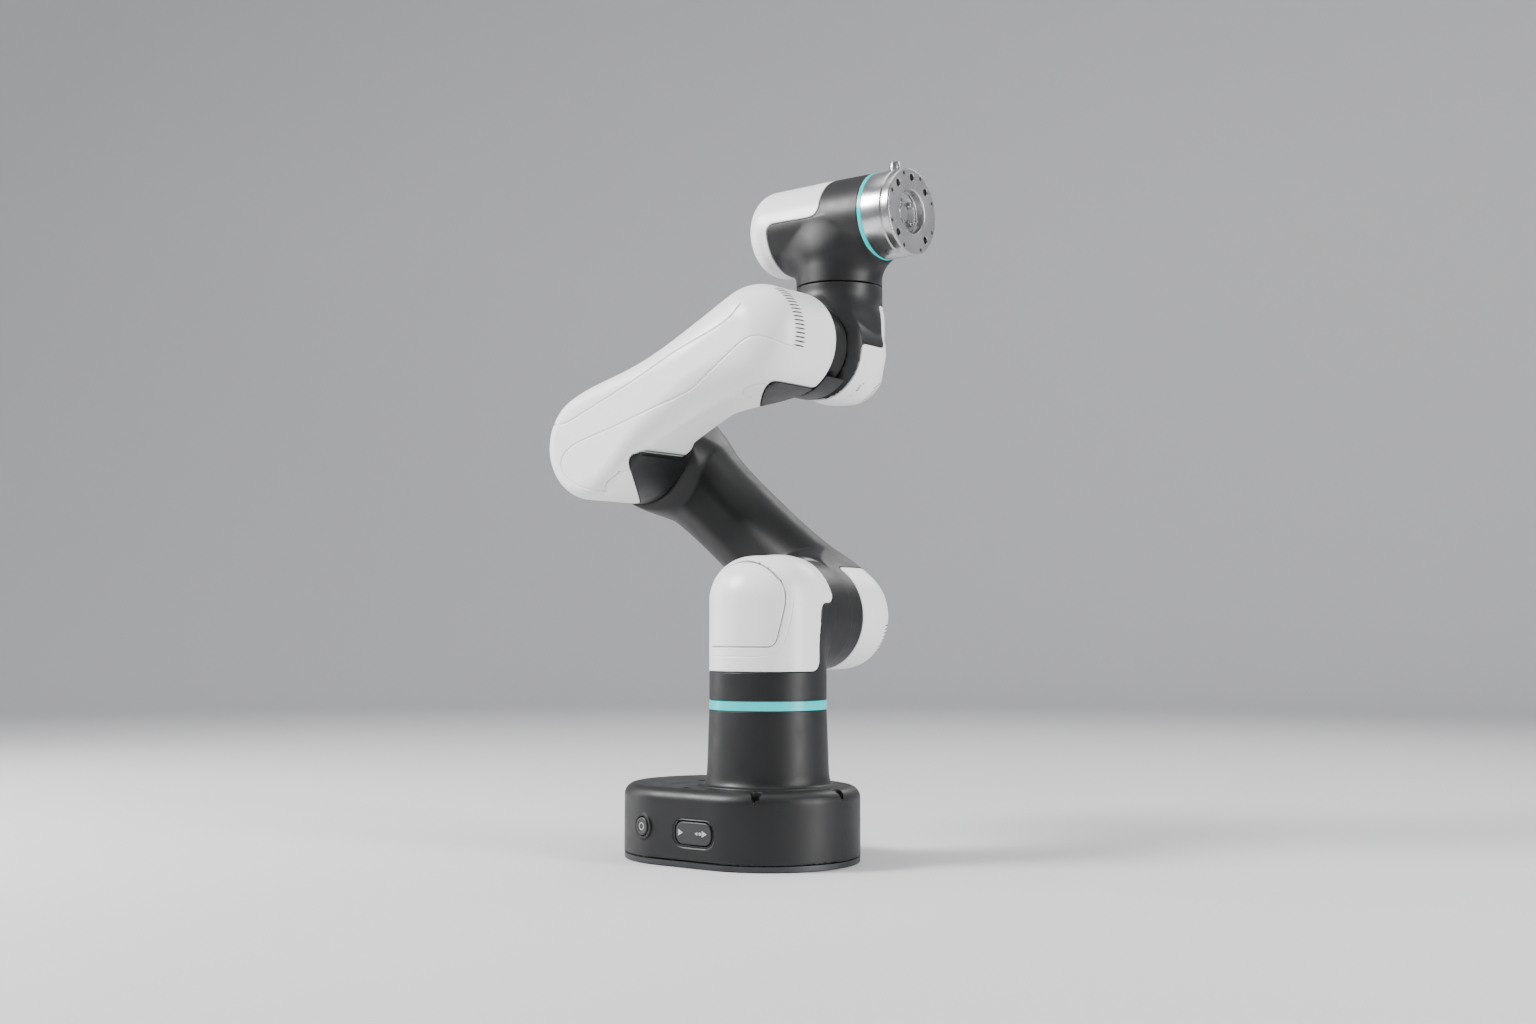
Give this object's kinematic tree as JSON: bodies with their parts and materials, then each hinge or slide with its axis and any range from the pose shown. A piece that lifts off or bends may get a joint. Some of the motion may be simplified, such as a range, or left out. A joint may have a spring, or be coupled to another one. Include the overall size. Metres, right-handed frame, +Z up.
{
  "type": "desktop robot arm",
  "caption": "Jointed desktop robot arm on a round-ended foot, with white shells over charcoal castings, lit joint rings and a round tool flange.",
  "frame": {"origin": "on the base turning axis, at the underside of the foot", "axes": "+Z up along the base axis, +X the way the tool flange points at rest, +Y the side of the shoulder that carries the upper arm"},
  "size_m": [0.2542, 0.1988, 0.4918],
  "materials": {
    "charcoal_paint": "satin charcoal coat on cast aluminium",
    "white_shell": "satin white moulded shell",
    "turned_aluminium": "fine-turned bright aluminium",
    "motor_steel": "dark laminated motor steel",
    "bright_steel": "bright machined steel",
    "zinc_plate": "zinc-plated sheet",
    "black_plastic": "matte black connector plastic",
    "charcoal_plastic": "satin charcoal button plastic",
    "board_green": "green solder mask",
    "cyan_light": "lit cyan light guide"
  },
  "bodies": {
    "base": {"base_plate": "zinc_plate", "base_housing": "charcoal_paint", "base_light_ring": "cyan_light", "rear_panel": "zinc_plate", "power_inlet": "black_plastic", "emergency_stop_socket": "black_plastic", "lan_port_1": "bright_steel", "lan_port_2": "bright_steel", "io_terminal": "board_green", "controller_board": "board_green", "j1_motor": "motor_steel", "j1_strain_wave_gear": "bright_steel"},
    "power_button": {"power_button": "charcoal_plastic"},
    "mode_rocker": {"mode_rocker": "charcoal_plastic"},
    "shoulder": {"shoulder_housing": "charcoal_paint", "shoulder_cover": "white_shell", "shoulder_panel": "white_shell", "j1_output_hub": "bright_steel", "j2_motor": "motor_steel", "j2_strain_wave_gear": "bright_steel"},
    "upper_arm": {"upper_arm_casting": "charcoal_paint", "shoulder_end_cap": "white_shell", "elbow_end_cap": "white_shell", "j2_output_hub": "bright_steel", "j3_motor": "motor_steel", "j3_strain_wave_gear": "bright_steel"},
    "forearm": {"forearm_frame": "charcoal_paint", "forearm_cover": "white_shell", "j3_output_hub": "bright_steel", "j4_motor": "motor_steel", "j4_strain_wave_gear": "bright_steel"},
    "wrist_1": {"wrist_1_housing": "charcoal_paint", "wrist_1_cap": "white_shell", "j4_output_hub": "bright_steel", "j5_motor": "motor_steel", "j5_strain_wave_gear": "bright_steel"},
    "wrist_2": {"wrist_2_housing": "charcoal_paint", "wrist_2_cap": "white_shell", "wrist_light_ring": "cyan_light", "j5_output_hub": "bright_steel", "j6_motor": "motor_steel", "j6_strain_wave_gear": "bright_steel"},
    "tool_flange": {"flange_body": "turned_aluminium", "tool_connector": "bright_steel", "j6_output_hub": "bright_steel", "recess_screw_1": "bright_steel", "recess_screw_2": "bright_steel", "recess_screw_3": "bright_steel", "recess_screw_4": "bright_steel"}
  },
  "joints": [
    {"name": "j1_base_turn", "type": "hinge", "parent": "base", "child": "shoulder", "pos_m": [0, 0, 0.1069], "axis": [0, 0, 1], "range_deg": [-360, 360]},
    {"name": "j2_shoulder", "type": "hinge", "parent": "shoulder", "child": "upper_arm", "pos_m": [0, 0, 0.1635], "axis": [0, 1, 0], "range_deg": [-70, 105]},
    {"name": "j3_elbow", "type": "hinge", "parent": "upper_arm", "child": "forearm", "pos_m": [-0.15266, 0, 0.28801], "axis": [0, -1, 0], "range_deg": [-28, 220]},
    {"name": "j4_wrist_bend", "type": "hinge", "parent": "forearm", "child": "wrist_1", "pos_m": [-0.01335, 0, 0.35596], "axis": [0, 1, 0], "range_deg": [-60, 145]},
    {"name": "j5_wrist_turn", "type": "hinge", "parent": "wrist_1", "child": "wrist_2", "pos_m": [-0.01335, 0.1035, 0.4047], "axis": [0, 0, 1], "range_deg": [-170, 170]},
    {"name": "j6_flange_turn", "type": "hinge", "parent": "wrist_2", "child": "tool_flange", "pos_m": [0, 0.1035, 0.4532], "axis": [1, 0, 0], "range_deg": [-360, 360]},
    {"name": "power_button_press", "type": "slide", "parent": "base", "child": "power_button", "axis": [0.1908, 0.9816, 0], "range_m": [0, 0.0012], "stiffness_N_per_m": 800, "springref_m": -0.001},
    {"name": "mode_rocker_tilt", "type": "hinge", "parent": "base", "child": "mode_rocker", "pos_m": [-0.0134, -0.059, 0.0222], "axis": [0, 0, 1], "range_deg": [-2, 2], "stiffness_Nm_per_rad": 0.3}
  ]
}
